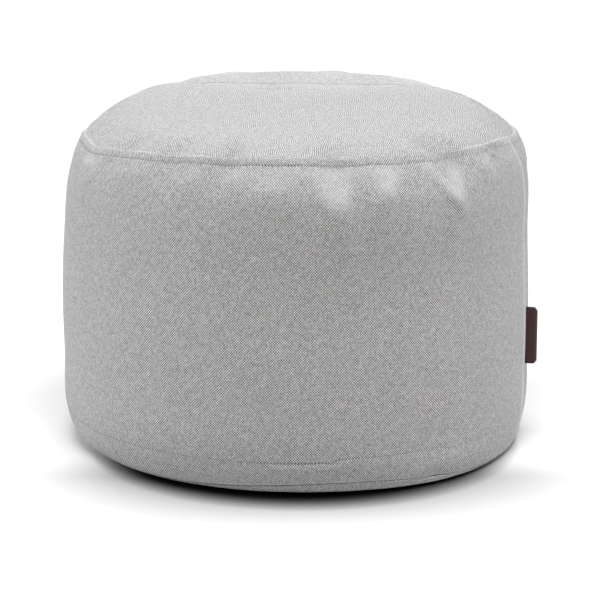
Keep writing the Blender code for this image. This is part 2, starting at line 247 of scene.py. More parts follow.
# the section at one angle, from the top seam down: its points, and how far down each lies
@functools.lru_cache(maxsize=None)
def sectionAt(degrees):
    points = [stationAt(row, degrees) for row in reversed(stations)]
    chords = [(b - a).length for a, b in zip(points, points[1:])]
    runs = [(b - a) / chord for a, b, chord in zip(points, points[1:], chords)]
    slopes = [runs[0]]
    for i in range(1, len(runs)):
        before, after = chords[i - 1:i + 1]
        slopes.append((runs[i] * before + runs[i - 1] * after) / (before + after))
    slopes.append(runs[-1])
    curve = []
    samples = coverMesh["curveSamples"]
    for i, chord in enumerate(chords):
        for j in range(samples):
            t = j / samples
            curve.append(
                points[i] * (2 * t**3 - 3 * t**2 + 1)
                + slopes[i] * chord * (t**3 - 2 * t**2 + t)
                + points[i + 1] * (3 * t**2 - 2 * t**3)
                + slopes[i + 1] * chord * (t**3 - t**2)
            )
    curve.append(points[-1])
    return curve, lengthsAlong(curve)


# point and outward normal, as (radius, height), at a distance down the cloth from the top seam
def onSection(degrees, distance):
    curve, down = sectionAt(degrees)
    low = min(max(bisect.bisect_right(down, distance) - 1, 0), len(down) - 2)
    share = (distance - down[low]) / (down[low + 1] - down[low])
    point = curve[low].lerp(curve[low + 1], share)
    along = (curve[min(low + 2, len(curve) - 1)] - curve[max(low - 1, 0)]).normalized()
    return point, Vector((-along.y, along.x))


# how far down the cloth the lower half of the section reaches a height
@functools.lru_cache(maxsize=None)
def distanceToHeight(degrees, height):
    curve, down = sectionAt(degrees)
    for i in range(len(curve) - 1, 0, -1):
        if curve[i].y <= height <= curve[i - 1].y:
            share = (height - curve[i].y) / (curve[i - 1].y - curve[i].y)
            return between(down[i], down[i - 1], share)
    return down[-1]


sewing = {
    "topRowDown": 0.0088,  # topstitching, down from the top seam
    # where its needle holes get shallower: an angle, over how many degrees, by how much
    "topRowFlat": ((-15.0, -8.0, 0.62), (14.0, 8.0, 0.12), (34.0, 6.0, 0.5)),
    "hemRowHeight": 0.0370,
    "hemStep": 0.0034,  # how much higher it runs from its step to its end
    "hemStepFrom": (8.2, 1.0),  # an angle, and over how many degrees
    "hemStepTo": (38.0, -4.0),
    "hemRowRuns": (40.0, 393.0),
    "hemFlat": 0.42,  # its needle holes' depth away from their deepest place
    "hemDeep": (1.0, 9.0),  # that place's angle and spread
    "rowDepth": 0.00045,
    "rowWidth": 0.0015,
    "rowUneven": 0.5,
    "rowRadius": 0.24,
    "topSeed": 1.0,
    "hemSeed": 2.0,
    "rippleSeed": 5.0,
    "rippleOut": 0.00032,  # needle ripples beside each row
    "ripplePitch": 0.0085,
    "rippleSpread": 0.010,
    "bandOut": 0.0006,  # the turned seam allowance under the cloth stands out
    "bandBegins": 0.0025,
    "bandEnds": 0.003,
    "uprightTop": 71.0,  # the upright seam, at the top and below
    "uprightLow": 77.0,
    "uprightStraightDown": 0.042,
    "uprightFade": 0.010,
    "uprightDepth": 0.0009,
    "uprightSpread": 0.7,
    "ridgeOut": 0.0009,  # the ridge beside it
    "ridgeBeside": 1.6,
    "ridgeSpread": 0.8,
    "baseSeamLow": 0.0035,
    "baseSeamHigh": 0.0140,
    "baseSeamPeak": (11.0, 34.0),
    "foldRadius": 0.0009,  # of a panel's turned edge
    "lipRadius": 0.0017,  # how softly the side panel rolls over into the top seam
    "seamLeast": 0.22,  # the top seam's least depth, and how much less deep it gets where
    "backLess": 0.75,
    "backFrom": (115.0, 30.0),
    "frontLess": 0.6,
    "frontAt": (13.0, 24.0),
    "lipLess": 0.55,
}


def baseSeamHeight(degrees):
    share = hump(degrees, *sewing["baseSeamPeak"])
    return between(sewing["baseSeamLow"], sewing["baseSeamHigh"], share)


# the hem's stitching steps up a little at the front, runs on and ends
def hemRowHeight(degrees):
    stepped = past(degrees, *sewing["hemStepFrom"]) * past(degrees, *sewing["hemStepTo"])
    return sewing["hemRowHeight"] + sewing["hemStep"] * stepped


# how deep the topstitching's needle holes are: shallower where the cloth is pulled flat
def topRowShare(degrees):
    share = 1.0
    for begins, over, less in sewing["topRowFlat"]:
        share -= less * past(degrees, begins, over)
    return share


# how deep the hem's needle holes are: the thread is pulled tightest at the front
def hemRowShare(degrees):
    return between(sewing["hemFlat"], 1.0, hump(degrees, *sewing["hemDeep"]))


def uprightSeamAngle(distance):
    share = min(distance / sewing["uprightStraightDown"], 1.0)
    return between(sewing["uprightTop"], sewing["uprightLow"], share)


# how far the puckers draw the side or the top panel in
def gathered(degrees, distance, panel):
    drawn, reach, slant = panel + "In", panel + "Reach", panel + "Slant"
    pulled = 0.0
    for row in puckers:
        left = 1.0 - distance / row[reach]
        if left <= 0.0:
            continue
        offset = turned(degrees - row["angle"] - row[slant] * (1.0 - left))
        width = row["width"] * between(pucker["tipWidth"], 1.0, left)
        if abs(offset) < pucker["ends"] * width:
            pulled += row[drawn] * bell(offset, width) * left ** row["power"]
    return pulled


# how much of its height a tongue has at a distance down the cloth
def tongueRise(row, distance):
    if distance <= row["start"]:
        return 0.0
    if distance < row["tip"]:
        return ((distance - row["start"]) / (row["tip"] - row["start"])) ** tongue["risePower"]
    return eased(1.0 - (distance - row["tip"]) / row["tail"])


# how much of its height a tongue has beside its own line
def tongueShare(row, degrees, distance):
    along = max((distance - row["start"]) / (row["tip"] - row["start"]), 0.0)
    offset = turned(degrees - row["angle"] - row["slant"] * min(along, tongue["slantTo"]))
    width = row["width"] * between(1.0, row["narrowed"], min(along, 1.0))
    if abs(offset) >= tongue["ends"] * width:
        return 0.0
    return math.exp(-abs(offset / width) ** tongue["sidePower"])


def folded(degrees, distance):
    beside = hump(degrees, slack["angle"], slack["spread"])
    risen = slack["out"] * beside * tongueRise(slack, distance)
    for row in folds:
        rise = tongueRise(row, distance)
        if rise > 0.0:
            risen += row["out"] * rise * tongueShare(row, degrees, distance)
    return risen


# Light and shade painted into the cloth's colour: a painted highlight where the cloth stands out
# over the filling, and painted shade where the seam gathers it. The tone is counted in steps, up to about
# three either way.
paintedLightAndShade = {
    "strength": 0.22,  # how much of the cloth's lightness a step is
    "paleFor": 0.0040,  # how far a tongue stands out, or cloth is drawn in, for a step
    "darkFor": 0.0050,
    "topDarkFor": 0.0130,
    "darkReach": 0.020,
    "paleOver": 0.0045,  # a tongue turns pale over this distance for each degree of its width
    "paleTo": 1.15,  # and fades before it gets this many times as far down as its tip
    "paleFade": 0.010,
    "paleStart": 0.1,  # tongues that start lower down stay as they are
    "backPale": 1.25,  # painted light over the back roll
    "backFrom": (120.0, 25.0),
    "backReach": 0.060,
    # degrees from the upright seam, spread and steps: a painted highlight where its allowance holds the cloth
    # out, and painted shade along its line
    "upright": ((-2.5, 0.9, 1.6), (-0.8, 0.6, -2.1)),
    "uprightFade": 0.006,
    "lipPale": 1.7,  # a painted highlight on the sewn edge, where it catches the light
    "lipReach": 0.0016,
    "lipFrom": ((-14.0, -10.0), (36.0, 10.0)),  # an angle, and over how many degrees
    "lipTo": (112.0, -20.0),
    "basePale": 1.2,  # a painted highlight on the edge at the base seam
    "baseReach": 0.0016,
    "topBackPale": 0.55,  # painted light: the top pales towards the back
    "topBackFrom": -0.02,
    "topBackOver": 0.20,
}
# Belts of painted shade and painted highlight below the top seam: angle, spread, how far down, half
# their height, and steps. Two are painted shade, over the seam's allowance, where the cloth sinks in,
# and one is a painted highlight, right below the topstitching, where the allowance holds the cloth out.
paintedShadeAndHighlightBelts = (
    (-25.0, 12.0, 0.0060, 0.0036, -0.60),
    (58.0, 6.0, 0.0060, 0.0036, -0.60),
    (8.0, 20.0, 0.0160, 0.0052, 0.75),
)


# the sewn edge stands clear at the left and the right of the front, and there it gets a painted highlight
def lipClearAndPaintedPale(degrees):
    beside = sum(past(degrees, begins, over) for begins, over in paintedLightAndShade["lipFrom"])
    return beside * pastBack(degrees, *paintedLightAndShade["lipTo"])


# painted light and shade, in steps: highlights on the tongues, the sewn edge, the back and beside the upright
# seam, and shade where the seam gathers the cloth and along the upright seam
def clothTone(degrees, distance):
    made = paintedLightAndShade["lipPale"] * lipClearAndPaintedPale(degrees) * eased(1.0 - distance / paintedLightAndShade["lipReach"])
    for row in folds:
        lowest = row["tip"] * paintedLightAndShade["paleTo"]
        if row["start"] < distance < lowest and row["start"] < paintedLightAndShade["paleStart"]:
            rise = eased((distance - row["start"]) / (paintedLightAndShade["paleOver"] * row["width"]))
            rise *= eased((lowest - distance) / paintedLightAndShade["paleFade"])
            made += row["out"] / paintedLightAndShade["paleFor"] * rise * tongueShare(row, degrees, distance)
    near = max(1.0 - distance / paintedLightAndShade["darkReach"], 0.0)
    if near > 0.0:
        made -= near * gathered(degrees, 0.0, "side") / paintedLightAndShade["darkFor"]
    behind = paintedLightAndShade["backPale"] * pastBack(degrees, *paintedLightAndShade["backFrom"])
    made += behind * eased(1.0 - distance / paintedLightAndShade["backReach"])
    beside = turned(degrees - uprightSeamAngle(distance))
    for at, spread, step in paintedLightAndShade["upright"]:
        made += step * bell(beside - at, spread) * eased(distance / paintedLightAndShade["uprightFade"])
    for at, spread, down, half, step in paintedShadeAndHighlightBelts:
        made += step * hump(degrees, at, spread) * bell(distance - down, half)
    return made


# small uneven waves round the cover, from -1 to 1
def ripple(degrees, seed):
    angle = math.radians(degrees)
    around = sewing["rowRadius"] / sewing["ripplePitch"]
    return noise.noise(Vector((math.cos(angle) * around, math.sin(angle) * around, seed)))


# a row of topstitching: a groove, with the cloth puffed and rippled on both sides
def sewnRow(offset, degrees, seed, share):
    depth = share * sewing["rowDepth"] * bell(offset, sewing["rowWidth"])
    depth *= 1.0 + sewing["rowUneven"] * ripple(degrees, seed)
    wave = sewing["rippleOut"] * ripple(degrees, seed + sewing["rippleSeed"])
    return wave * bell(offset, sewing["rippleSpread"]) - depth


# The top seam lies shallow where the filling presses both panels up, at the back and to the
# right of the middle of the front, and where its edge stands clear.
def seamDepth(degrees):
    depth = 1.0 - sewing["backLess"] * pastBack(degrees, *sewing["backFrom"])
    depth -= sewing["frontLess"] * hump(degrees, *sewing["frontAt"])
    depth -= sewing["lipLess"] * lipClearAndPaintedPale(degrees)
    return max(depth, sewing["seamLeast"])


# The turned hem pushes the cloth out between its stitching and the base seam.
hemPuff = {"out": 0.0016, "angle": 6.0, "spread": 20.0, "down": 0.0065, "downSpread": 0.0060,
           "allRound": 0.35, "uneven": 0.4, "slower": 0.35, "seed": 9.0}


def hemPuffShare(degrees, offset):
    around = hump(degrees, hemPuff["angle"], hemPuff["spread"])
    uneven = hemPuff["uneven"] * ripple(degrees * hemPuff["slower"], hemPuff["seed"])
    around = max(around, hemPuff["allRound"] * (1.0 - hemPuff["uneven"] + uneven))
    return around * bell(offset - hemPuff["down"], hemPuff["downSpread"])


# how far the side panel stands out from its smooth section
def sideRelief(degrees, distance, above):
    out = folded(degrees, distance) - gathered(degrees, distance, "side")
    band = eased(distance / sewing["bandBegins"])
    band *= eased((sewing["topRowDown"] - distance) / sewing["bandEnds"])
    out += sewing["bandOut"] * band
    lip = sewing["lipRadius"] * seamDepth(degrees)
    over = 1.0 - min(distance / lip, 1.0)
    out -= lip * (1.0 - math.sqrt(1.0 - over ** 2))
    topOffset = distance - sewing["topRowDown"]
    out += sewnRow(topOffset, degrees, sewing["topSeed"], topRowShare(degrees))
    hemOffset = distance - distanceToHeight(degrees, hemRowHeight(degrees))
    out += sewnRow(hemOffset, degrees, sewing["hemSeed"], hemRowShare(degrees))
    out += hemPuff["out"] * hemPuffShare(degrees, hemOffset)
    beside = turned(degrees - uprightSeamAngle(distance))
    fade = eased(distance / sewing["uprightFade"]) * eased(above / sewing["uprightFade"])
    out -= fade * sewing["uprightDepth"] * bell(beside, sewing["uprightSpread"])
    ridge = bell(beside + sewing["ridgeBeside"], sewing["ridgeSpread"])
    return out + fade * sewing["ridgeOut"] * ridge


# moves evenly spread angles so that they lie closer together round the upright seam
def crowdedAngle(degrees):
    offset = turned(degrees - sewing["uprightLow"])
    spread = coverMesh["seamCrowdingSpread"]
    return sewing["uprightLow"] + offset - coverMesh["seamCrowding"] * offset * bell(offset, spread)


# a (radius, height) of the section at an angle, as a point in space
def inSpace(degrees, flat):
    angle = math.radians(degrees)
    return Vector((flat[0] * math.sin(angle), -flat[0] * math.cos(angle), flat[1]))


# makes a finished bmesh an object
def meshed(name, shape, material, smooth=True):
    mesh = bpy.data.meshes.new(name)
    shape.to_mesh(mesh)
    shape.free()
    if smooth:
        mesh.shade_smooth()
    mesh.materials.append(material)
    return linked(name, mesh)


# A closed panel: a line of vertices is spun round Z, and each then moves to where its
# ring's surface lies. A ring is a function of the angle giving (radius, height), and a
# plain height is the pole at either end.
def spunPanel(name, rings, cloth, uvOf, layersOf=None):
    shape = bmesh.new()
    ringLayer = shape.verts.layers.int.new("ring")
    angleLayer = shape.verts.layers.float.new("angle")
    paintedLightLayer = shape.verts.layers.float.new("clothTone")
    rowLayer = shape.verts.layers.float.new("besideRow")
    line = []
    last = len(rings) - 1
    for ring in range(last + 1):
        across = 0.0 if ring in (0, last) else 1.0
        point = shape.verts.new((0.0, -across, ring / last))
        point[ringLayer] = ring
        line.append(point)
    edges = [shape.edges.new(pair) for pair in zip(line, line[1:])]
    bmesh.ops.spin(shape, geom=line + edges, cent=(0, 0, 0), axis=(0, 0, 1), angle=math.tau,
                   steps=coverMesh["stepsRound"], use_merge=True, use_duplicate=False)
    bmesh.ops.remove_doubles(shape, verts=shape.verts, dist=0.000001)
    for vertex in shape.verts:
        ring = vertex[ringLayer]
        if ring in (0, last):
            vertex.co = (0.0, 0.0, rings[ring])
            continue
        even = round(math.degrees(math.atan2(vertex.co.x, -vertex.co.y)), 4)
        degrees = round(crowdedAngle(even), 3)
        vertex[angleLayer] = degrees
        vertex.co = inSpace(degrees, rings[ring](degrees))
        if layersOf:
            vertex[paintedLightLayer], vertex[rowLayer] = layersOf(ring, degrees)
    bmesh.ops.recalc_face_normals(shape, faces=shape.faces)
    uvLayer = shape.loops.layers.uv.new("clothUv")
    for face in shape.faces:
        centre = face.calc_center_median()
        middle = math.degrees(math.atan2(centre.x, -centre.y))
        for loop in face.loops:
            ring = loop.vert[ringLayer]
            degrees = middle if ring in (0, last) else round(loop.vert[angleLayer], 3)
            loop[uvLayer].uv = uvOf(ring, degrees, middle)
    return meshed(name, shape, cloth)


# an sRGB hex colour as linear RGBA
def linear(hexColour):
    made = []
    for i in (0, 2, 4):
        value = int(hexColour[i:i + 2], 16) / 255.0
        made.append(value / 12.92 if value <= 0.04045 else ((value + 0.055) / 1.055) ** 2.4)
    return (*made, 1.0)


# Sets up a node. Settings are its properties and its sockets' values, links are the sockets
# that feed its own, and a node there stands for its first output.
def setNode(node, settings=None, links=None):
    for key, value in (settings or {}).items():
        if isinstance(key, int) or key in node.inputs:
            node.inputs[key].default_value = value
        else:
            setattr(node, key, value)
    for key, source in (links or {}).items():
        source = source.outputs[0] if isinstance(source, bpy.types.Node) else source
        node.id_data.links.new(source, node.inputs[key])
    return node


# adds a node, whose operation may follow its kind
def addNode(tree, kind, settings=None, links=None):
    kind, _, operation = kind.partition(" ")
    node = tree.nodes.new("ShaderNode" + kind)
    if operation:
        node.operation = operation
    return setNode(node, settings, links)


# a material, the function that adds nodes to it, and its shader
def newMaterial(name):
    made = bpy.data.materials.new(name)
    made.use_nodes = True
    tree = made.node_tree
    return made, functools.partial(addNode, tree), tree.nodes["Principled BSDF"]


thread = {
    "pitch": 0.0034,  # from needle hole to needle hole
    "length": 0.0025,
    "thickness": 0.00055,
    "proud": 0.4,  # how much of its half thickness its middle lies above the cloth
    "sunk": 0.00005,
    "pitHalf": 0.0014,
    "pitCore": 0.0002,
    "pitFrom": 0.70,  # how much of the pitch a needle hole takes, as a cosine
    "pitTo": 0.97,
    "dark": "8c8c8c",
    "light": "c2c2c2",
    "fibres": 900.0,
    "roughness": 0.7,
}
melange = {
    "warpLight": "e6e6e6",
    "warpDark": "b8b8b8",
    "weftLight": "7c7c7c",
    "weftDark": "404040",
    "skew": 0.03,
    "wanderScale": 14.0,
    "overlap": 0.25,  # how softly one yarn passes over the other
    "speck": 0.7,  # how much a yarn's tone jumps from one crossing to the next
    "toneScale": 0.9,
    "toneRoughness": 0.7,
    "toneFrom": 0.3,
    "toneTo": 0.7,
    "toneLength": 0.22,  # along a yarn its tone changes this much slower than across
    "even": "a8a8a8",  # the yarns' mean, which the cloth comes nearer to where it is painted pale
    "evenShare": 0.42,
    "roughness": 0.92,
    "specular": 0.2,
    "sheen": 0.15,
    "sheenRoughness": 0.5,
    "bumpPower": 0.6,
    "bumpHeight": 0.00012,
    "pitDepth": 0.0006,
    "pitShade": (0.12, 0.12, 0.12, 1.0),  # the painted shade of a needle hole, how dark it looks against the cloth
}
# Yarn pitches, the cloth's turn on the panel, and how far its yarns wander over the width
# of a hand. The top is cut on the bias, so its yarns run at 45 degrees to the front.
sideWeave = {"warpPitch": 0.00128, "weftPitch": 0.00137, "turn": 0.0, "wander": 0.0052}
topWeave = {"warpPitch": 0.00127, "weftPitch": 0.00127, "turn": 45.0, "wander": 0.0028}


# Melange upholstery cloth, a plain weave of polyester yarns spun from light and dark
# fibres. It looks matt, with a fine crossed texture that reads as short diagonal hatching,
# and each yarn changes from light to dark along its length.
def wovenMelange(name, weave, sewn=False):
    made, add, shader = newMaterial(name)
    uv = add("UVMap", {"uv_map": "clothUv"})
    angle = math.radians(weave["turn"])
    turnedUv = add("VectorRotate", {"rotation_type": "Z_AXIS", "Angle": angle}, {"Vector": uv})
    wanders = add("TexNoise", {"Scale": melange["wanderScale"], "Detail": 2.0}, {"Vector": uv})
    reach = weave["wander"]
    wander = add("VectorMath MULTIPLY_ADD", {1: [reach] * 3, 2: [-0.5 * reach] * 3},
                 {0: wanders.outputs["Color"]})
    placed = add("VectorMath ADD", None, {0: turnedUv, 1: wander})
    axes = add("SeparateXYZ", None, {0: placed}).outputs
    across = add("Math DIVIDE", {1: weave["warpPitch"]}, {0: axes["X"]})
    skewed = add("Math MULTIPLY_ADD", {1: melange["skew"]}, {0: axes["X"], 2: axes["Y"]})
    along = add("Math DIVIDE", {1: weave["weftPitch"]}, {0: skewed})
    waves = []
    for place in (across, along):
        turns = add("Math MULTIPLY", {1: math.pi}, {0: place})
        waves.append(add("Math SINE", None, {0: turns}))
    crossing = add("Math MULTIPLY", None, {0: waves[0], 1: waves[1]})
    softly = {"From Min": -melange["overlap"], "From Max": melange["overlap"]}
    warpOver = add("MapRange", {**softly, "interpolation_type": "SMOOTHSTEP"}, {"Value": crossing})
    yarns = add("CombineXYZ", None, {"X": across, "Y": along})
    crossings = add("VectorMath FLOOR", None, {0: yarns})
    specks = add("TexWhiteNoise", {"noise_dimensions": "2D"}, {"Vector": crossings})
    jump = add("Math MULTIPLY_ADD", {1: melange["speck"], 2: -0.5 * melange["speck"]}, {0: specks})
    colours = {}
    slower = melange["toneLength"]
    for yarn, stretch in (("warp", (1.0, slower, 1.0)), ("weft", (slower, 1.0, 1.0))):
        stretched = add("VectorMath MULTIPLY", {1: stretch}, {0: yarns})
        grain = {"Scale": melange["toneScale"], "Detail": 2.0, "Roughness": melange["toneRoughness"]}
        tone = add("TexNoise", grain, {"Vector": stretched})
        spread = {"From Min": melange["toneFrom"], "From Max": melange["toneTo"]}
        mixed = add("Math ADD", {"use_clamp": True}, {0: add("MapRange", spread, {"Value": tone}), 1: jump})
        shades = {6: linear(melange[yarn + "Dark"]), 7: linear(melange[yarn + "Light"])}
        colours[yarn] = add("Mix", {"data_type": "RGBA", **shades}, {0: mixed}).outputs[2]
    yarnsMixed = {0: warpOver, 6: colours["weft"], 7: colours["warp"]}
    woven = add("Mix", {"data_type": "RGBA"}, yarnsMixed).outputs[2]
    # the painted light and shade: it lightens or darkens the cloth's colour, and where it is painted pale the
    # weave is evened towards the yarns' mean
    pulled = add("Attribute", {"attribute_name": "clothTone"}).outputs["Fac"]
    paintedBrightness = add("Math MULTIPLY_ADD", {1: paintedLightAndShade["strength"], 2: 1.0}, {0: pulled})
    smooth = add("MapRange", {"To Max": melange["evenShare"]}, {"Value": pulled})
    evened = add("Mix", {"data_type": "RGBA", 7: linear(melange["even"])}, {0: smooth, 6: woven})
    cloth = add("VectorMath SCALE", None, {0: evened.outputs[2], "Scale": paintedBrightness}).outputs[0]
    raised = add("Math ABSOLUTE", None, {0: crossing})
    relief = add("Math POWER", {1: melange["bumpPower"]}, {0: raised})
    bump = add("Bump", {"Strength": 1.0, "Distance": melange["bumpHeight"]}, {"Height": relief})
    if sewn:
        # a needle hole between each two stitches of a row: a small pit in the cloth, bumped in, with its
        # shade painted dark
        flat = add("SeparateXYZ", None, {0: uv})
        turns = add("Math MULTIPLY", {1: math.pi / thread["pitch"]}, {0: flat.outputs["X"]})
        beat = add("Math COSINE", None, {0: turns})
        beats = add("Math ABSOLUTE", None, {0: beat})
        hole = {"From Min": thread["pitFrom"], "From Max": thread["pitTo"]}
        inHole = add("MapRange", hole, {"Value": beats})
        besideRow = add("Attribute", {"attribute_name": "besideRow"}).outputs["Fac"]
        apart = add("Math ABSOLUTE", None, {0: besideRow})
        near = add("MapRange", {"From Min": thread["pitHalf"], "From Max": thread["pitCore"],
                                "interpolation_type": "SMOOTHSTEP"}, {"Value": apart})
        pit = add("Math MULTIPLY", None, {0: inHole, 1: near})
        darker = {"data_type": "RGBA", "blend_type": "MULTIPLY", 7: melange["pitShade"]}
        cloth = add("Mix", darker, {0: pit, 6: cloth}).outputs[2]
        bump = add("Bump", {"Strength": 1.0, "Distance": melange["pitDepth"], "invert": True},
                   {"Height": pit, "Normal": bump})
    setNode(shader, {
        "Roughness": melange["roughness"],
        "Specular IOR Level": melange["specular"],
        "Sheen Weight": melange["sheen"],
        "Sheen Roughness": melange["sheenRoughness"],
    }, {"Base Color": cloth, "Normal": bump})
    return made


print("side panel")
sidePanel = {
    # ring distances down from the top seam, close together over the fold and the stitching
    "topRings": (0.0, 0.0002, 0.0005, 0.0009, 0.0013, 0.0018, 0.0025, 0.0034, 0.0046, 0.0058, 0.0070, 0.0079,
                 0.0088, 0.0097, 0.0106, 0.0118, 0.0132, 0.0148, 0.0166, 0.0186, 0.0208, 0.0232),
    "middleRings": 62,
    # ring distances down from the hem's stitching
    "hemRings": (-0.0080, -0.0050, -0.0030, -0.0018, -0.0009, 0.0, 0.0009, 0.0018, 0.0030, 0.0050, 0.0075,
                 0.0105),
    "lowRings": 8,
    "baseGap": 0.0003,
    "uvRadius": 0.2470,
    # the turned-in edges, at the top seam and at the base seam: inward and up, in fold radii
    "lip": ((1.6, -1.2), (0.7, -0.1)),
    "hemLip": ((0.9, 0.1), (2.5, 1.0)),
    "coreTop": 0.3217,
    "coreBase": 0.0093,
}
# The filling under the top panel is level at the middle and rises to the seam: shares of
# the radius and depths below the seam, for the top panel and, a gap lower, the side panel.
underTop = {"innerShare": 0.88, "innerDepth": 0.0120, "edgeFolds": 3.5, "edgeRadius": 0.225,
            "edgeDepth": 0.0030, "gap": 0.0004, "centre": 0.3221}


# how far down from the top seam each ring of the side panel lies
@functools.lru_cache(maxsize=None)
def sideDistances(degrees):
    hem = distanceToHeight(degrees, hemRowHeight(degrees))
    end = distanceToHeight(degrees, baseSeamHeight(degrees) + sidePanel["baseGap"])
    made = list(sidePanel["topRings"])
    upper = made[-1]
    lower = hem + sidePanel["hemRings"][0]
    for i in range(1, sidePanel["middleRings"]):
        made.append(between(upper, lower, i / sidePanel["middleRings"]))
    hemRings = [hem + offset for offset in sidePanel["hemRings"]]
    made += hemRings
    for i in range(1, sidePanel["lowRings"] + 1):
        made.append(between(hemRings[-1], end, i / sidePanel["lowRings"]))
    return made


@functools.lru_cache(maxsize=None)
def sidePoint(degrees, ring):
    distances = sideDistances(degrees)
    distance = distances[ring]
    point, normal = onSection(degrees, distance)
    return point + normal * sideRelief(degrees, distance, distances[-1] - distance)


# a ring of the surface where the top panel's filling meets the side panel's
def parting(share, depth):
    def surface(degrees):
        seam = sidePoint(degrees, 0)
        return seam.x * share, seam.y - gathered(degrees, 0.0, "top") - depth
    return surface


def sideRings():
    count = len(sideDistances(0.0))

    def skin(ring):
        return lambda degrees: sidePoint(degrees, ring)

    def tuck(ring, inward, up):
        def surface(degrees):
            point = sidePoint(degrees, ring)
            return point.x - inward, point.y + up
        return surface

    fold = sewing["foldRadius"]
    lower = underTop["gap"]
    made = [sidePanel["coreTop"]]
    made.append(parting(underTop["innerShare"], underTop["innerDepth"] + lower))
    edgeShare = 1.0 - underTop["edgeFolds"] * fold / underTop["edgeRadius"]
    made.append(parting(edgeShare, underTop["edgeDepth"] + lower))
    made += [tuck(0, inward * fold, up * fold) for inward, up in sidePanel["lip"]]
    firstSkin = len(made)
    made += [skin(ring) for ring in range(count)]
    made += [tuck(count - 1, inward * fold, up * fold) for inward, up in sidePanel["hemLip"]]
    made.append(sidePanel["coreBase"])
    return made, firstSkin


sideSurfaces, firstSkin = sideRings()


# how far down a ring lies, one that is turned in as the skin's end beside it
def ringDistance(ring, degrees):
    distances = sideDistances(degrees)
    return distances[min(max(ring - firstSkin, 0), len(distances) - 1)]


# the cloth runs flat round the cover from the upright seam, and down from the top seam
def sideUv(ring, degrees, middle):
    fromSeam = (middle - sewing["uprightLow"]) % 360.0 + turned(degrees - middle)
    return math.radians(fromSeam) * sidePanel["uvRadius"], -ringDistance(ring, degrees)


# the cloth's painted light and shade, with a painted highlight on the edge at the base seam, and how far it
# lies from the nearer row of stitching, which counts as further where that row is shallow
def sideLayers(ring, degrees):
    distance = ringDistance(ring, degrees)
    fromTopRow = distance - sewing["topRowDown"]
    fromHem = distance - distanceToHeight(degrees, hemRowHeight(degrees))
    beside = fromHem / hemRowShare(degrees)
    if abs(fromTopRow) < abs(fromHem):
        beside = fromTopRow / topRowShare(degrees)
    fromEnd = sideDistances(degrees)[-1] - distance
    edge = paintedLightAndShade["basePale"] * eased(1.0 - fromEnd / paintedLightAndShade["baseReach"])
    return clothTone(degrees, distance) + edge, beside


sideCloth = wovenMelange("wovenMelangeSide", sideWeave, True)
sideCover = spunPanel("side_cover", sideSurfaces, sideCloth, sideUv, sideLayers)
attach(sideCover, "root")
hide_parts("side_panel")

print("top panel")
topPanel = {
    "crown": 0.3551,
    "edgeLevel": 0.3434,
    "roundedShare": 0.167,  # how much of the radius rounds down to the seam
    "roundedPower": 1.5,
    "edgeGap": 0.0005,
    # distances in from the seam, then shares of the rest
    "edgeRings": (0.0, 0.0003, 0.0007, 0.0012, 0.0018, 0.0026, 0.0036, 0.0048, 0.0063, 0.0081, 0.0102,
                  0.0126, 0.0153, 0.0183, 0.0216, 0.0252, 0.0291, 0.0333, 0.0378, 0.0426, 0.0477, 0.0531,
                  0.0588, 0.0648, 0.0711, 0.0777, 0.0846),
    "innerRings": 20,
    "turnedIn": 0.001,  # the edge inside the seam, inward and down
    "turnedDown": 0.0015,
}
# Near its edge the top lies at a level of its own, with a puffed cheek at the back of each
# side and a dip at the back: angle, spread, lift.
edgeLifts = (
    (-128.5, 21.5, 0.0142),
    (126.0, 21.5, 0.0086),
    (180.0, 29.0, -0.0133),
)


def topRadius(degrees):
    return sidePoint(degrees, 0).x - topPanel["edgeGap"]


@functools.lru_cache(maxsize=None)
def topPoint(degrees, inward):
    seam = sidePoint(degrees, 0)
    radius = topRadius(degrees)
    share = 1.0 - inward / radius
    lift = humps(degrees, edgeLifts)
    level = between(topPanel["crown"], topPanel["edgeLevel"] + lift, share ** 2)
    into = max(share - 1.0 + topPanel["roundedShare"], 0.0) / topPanel["roundedShare"]
    power = topPanel["roundedPower"]
    rounded = 1.0 - max(1.0 - into ** power, 0.0) ** (1.0 / power)
    height = between(level, seam.y, rounded)
    height -= gathered(degrees, inward, "top")
    edge = max(1.0 - inward / (2.0 * sewing["foldRadius"]), 0.0)
    return Vector((radius * share, height - sewing["foldRadius"] * seamDepth(degrees) * edge ** 2))


# how far in from the seam each ring of the top panel lies, from the middle outwards
@functools.lru_cache(maxsize=None)
def topInward(degrees):
    edge = topPanel["edgeRings"]
    count = topPanel["innerRings"]
    inner = [between(edge[-1], topRadius(degrees), i / count) for i in range(count - 1, 0, -1)]
    return inner + list(reversed(edge))


# how far each ring lies from the middle, measured over the cloth
@functools.lru_cache(maxsize=None)
def topReaches(degrees):
    middle = Vector((0.0, topPanel["crown"]))
    return lengthsAlong([middle] + [topPoint(degrees, inward) for inward in topInward(degrees)])


def topRings():
    def skin(ring):
        return lambda degrees: topPoint(degrees, topInward(degrees)[ring])

    def under(degrees):
        radius, height = topPoint(degrees, 0.0)
        return radius - topPanel["turnedIn"], height - topPanel["turnedDown"]

    count = len(topInward(0.0))
    made = [topPanel["crown"]] + [skin(ring) for ring in range(count)] + [under]
    made.append(parting(underTop["innerShare"], underTop["innerDepth"]))
    made.append(underTop["centre"])
    return made


# The top's cloth lies skewed towards the front, so that its yarns lean, and over the middle
# and the right they also go astray: how far, how often, and from where rightwards.
yarnLean = {"slope": 0.145, "middle": -0.120, "depth": 0.120,
            "astray": 0.0034, "astrayScale": 45.0, "astrayFrom": -0.130, "astrayOver": 0.070}


